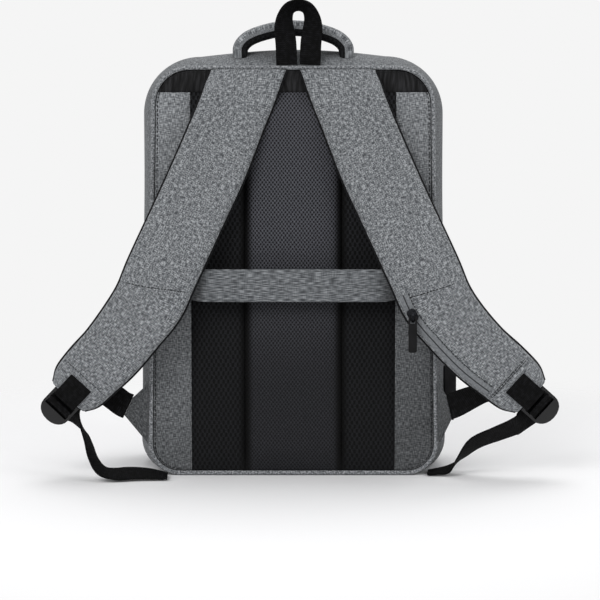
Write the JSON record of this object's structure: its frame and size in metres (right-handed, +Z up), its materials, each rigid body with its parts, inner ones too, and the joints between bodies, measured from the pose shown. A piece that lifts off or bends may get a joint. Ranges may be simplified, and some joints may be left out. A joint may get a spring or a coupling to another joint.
{
  "type": "laptop backpack",
  "caption": "Boxy upright backpack with padded shoulder straps, mesh back pads, rear band, carry handle and hang loop.",
  "frame": {"origin": "on the floor under the middle of the bag", "axes": "+Z up; -Y out of the harness side; +X to the right when looking at the harness side"},
  "size_m": [0.4957, 0.1887, 0.4562],
  "materials": {
    "grey_fabric": "grey melange woven polyester",
    "dark_fabric": "black woven polyester",
    "mesh_fabric": "black spacer mesh",
    "webbing": "black ribbed nylon webbing",
    "buckle_plastic": "black moulded acetal",
    "port_plastic": "black moulded housing",
    "zip_metal": "gunmetal plated zinc"
  },
  "bodies": {
    "bag": {"gusset": "grey_fabric", "base_panel": "dark_fabric", "back_panel": "dark_fabric", "front_panel": "grey_fabric", "back_piping": "grey_fabric", "front_piping": "grey_fabric", "yoke": "dark_fabric", "centre_pad": "mesh_fabric", "mesh_channel_left": "mesh_fabric", "side_panel_left": "grey_fabric", "mesh_channel_right": "mesh_fabric", "side_panel_right": "grey_fabric", "rear_band": "grey_fabric", "carry_handle": "grey_fabric", "carry_handle_lining": "mesh_fabric", "hang_loop": "webbing", "shoulder_strap_left": "grey_fabric", "strap_lining_left": "mesh_fabric", "webbing_tab_left": "webbing", "buckle_left": "buckle_plastic", "wing_left": "grey_fabric", "lower_strap_left": "webbing", "strap_tail_left": "webbing", "shoulder_strap_right": "grey_fabric", "strap_lining_right": "mesh_fabric", "webbing_tab_right": "webbing", "buckle_right": "buckle_plastic", "wing_right": "grey_fabric", "lower_strap_right": "webbing", "strap_tail_right": "webbing", "pocket_zip": "dark_fabric", "zip_slider": "zip_metal", "main_zip": "dark_fabric", "main_zip_pull": "buckle_plastic", "charging_port": "port_plastic"},
    "zip_pull": {"zip_pull": "buckle_plastic"}
  },
  "joints": [
    {"name": "zip_pull_hinge", "type": "hinge", "parent": "bag", "child": "zip_pull", "pos_m": [0.11182, -0.11505, 0.15818], "axis": [-0.9999, 0.011, 0], "range_deg": [0, 110]}
  ]
}
